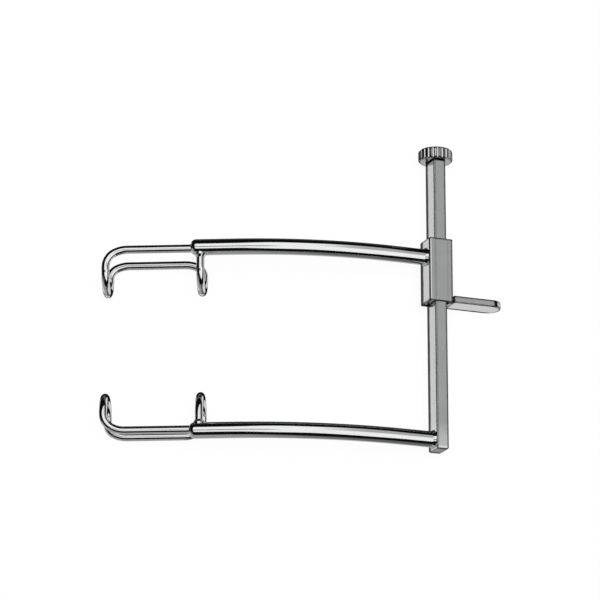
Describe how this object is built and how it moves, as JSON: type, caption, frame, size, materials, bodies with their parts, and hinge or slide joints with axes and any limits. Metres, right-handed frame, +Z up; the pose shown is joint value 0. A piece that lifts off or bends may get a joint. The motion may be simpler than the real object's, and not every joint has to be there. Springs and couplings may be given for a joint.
{
  "type": "eye speculum",
  "caption": "Wire lid speculum: arched arms with bent wire blades, spread by a screw in a square rail, with a thumb knob and a quick-release lever.",
  "frame": {"origin": "middle of the footprint on the table, as the instrument lies on its two blades and the tip of its release tongue", "axes": "+X from the blades towards the rail, +Y along the rail towards the knob, +Z up, out of the patient's face"},
  "size_m": [0.0598, 0.0468, 0.0105],
  "materials": {
    "rail_steel": "satin stainless steel",
    "slider_steel": "satin stainless steel",
    "knob_steel": "knurled stainless steel",
    "arm_steel": "polished stainless steel",
    "wire_steel": "polished stainless steel wire",
    "lever_steel": "satin stainless steel",
    "screw_steel": "machined stainless steel",
    "spring_steel": "drawn spring wire"
  },
  "bodies": {
    "rail_frame": {"rail": "rail_steel", "end_bush": "screw_steel", "neck_bush": "screw_steel", "lower_arm": "arm_steel", "lower_blade": "wire_steel"},
    "screw": {"spindle": "screw_steel", "knob": "knob_steel"},
    "carriage": {"slider": "slider_steel", "upper_arm": "arm_steel", "upper_blade": "wire_steel", "lever_pin": "screw_steel", "lever_spring": "spring_steel"},
    "lever": {"release_lever": "lever_steel", "half_nut": "screw_steel"}
  },
  "joints": [
    {"name": "knob_spin", "type": "hinge", "parent": "rail_frame", "child": "screw", "pos_m": [0.02014, 0.0216, 0.00452], "axis": [0, -1, 0], "range_deg": [-21417, 17860]},
    {"name": "slider_slide", "type": "slide", "parent": "rail_frame", "child": "carriage", "axis": [0, 1, 0], "range_m": [-0.01487, 0.0124]},
    {"name": "lever_press", "type": "hinge", "parent": "carriage", "child": "lever", "pos_m": [0.02152, -0.00014, 0.00406], "axis": [-0.3154, 0, -0.949], "range_deg": [0, 4.5], "stiffness_Nm_per_rad": 0.008, "springref_deg": -14.32}
  ],
  "couplings": [
    {"joint": "knob_spin", "follows": "slider_slide", "rad_per_m": 25133}
  ]
}
